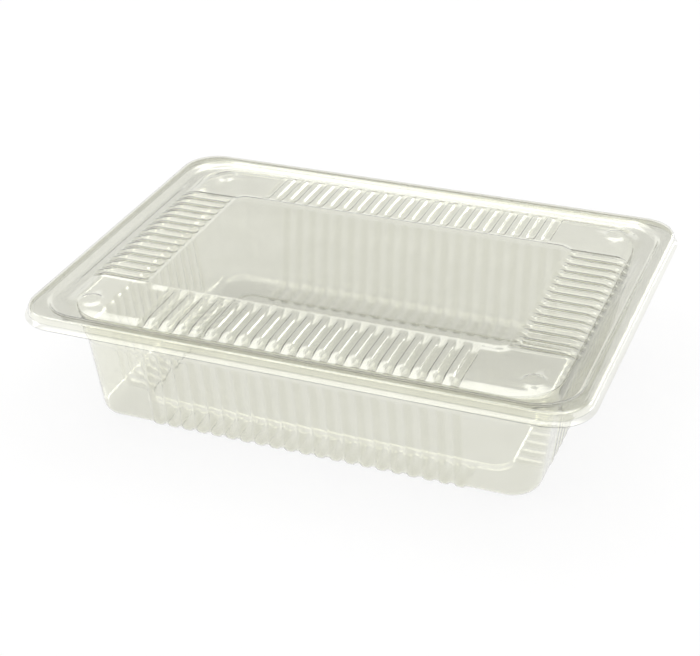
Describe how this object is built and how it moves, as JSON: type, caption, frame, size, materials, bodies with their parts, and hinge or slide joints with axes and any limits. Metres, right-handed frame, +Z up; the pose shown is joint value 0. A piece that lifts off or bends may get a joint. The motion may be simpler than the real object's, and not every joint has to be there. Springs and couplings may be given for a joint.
{
  "type": "plastic clamshell pack",
  "caption": "Clear rectangular food pack with a fluted tray and a hinged, ribbed lid that nests flush in the flange.",
  "frame": {"origin": "centre of the footprint, on the table that the flutes of the floor rest on", "axes": "+X along the long side, +Y from the opening side to the hinged side, +Z up"},
  "size_m": [0.275, 0.201, 0.0644],
  "materials": {
    "tray_sheet": "clear, glossy formed sheet",
    "lid_sheet": "clear, glossy formed sheet",
    "hinge_sheet": "clear, glossy formed sheet"
  },
  "bodies": {
    "tray": {"base_tray": "tray_sheet", "living_hinge": "hinge_sheet"},
    "cover": {"lid": "lid_sheet"}
  },
  "joints": [
    {"name": "lid_hinge", "type": "hinge", "parent": "tray", "child": "cover", "pos_m": [0, 0.1003, 0.05945], "axis": [-1, 0, 0], "range_deg": [0, 180]}
  ]
}
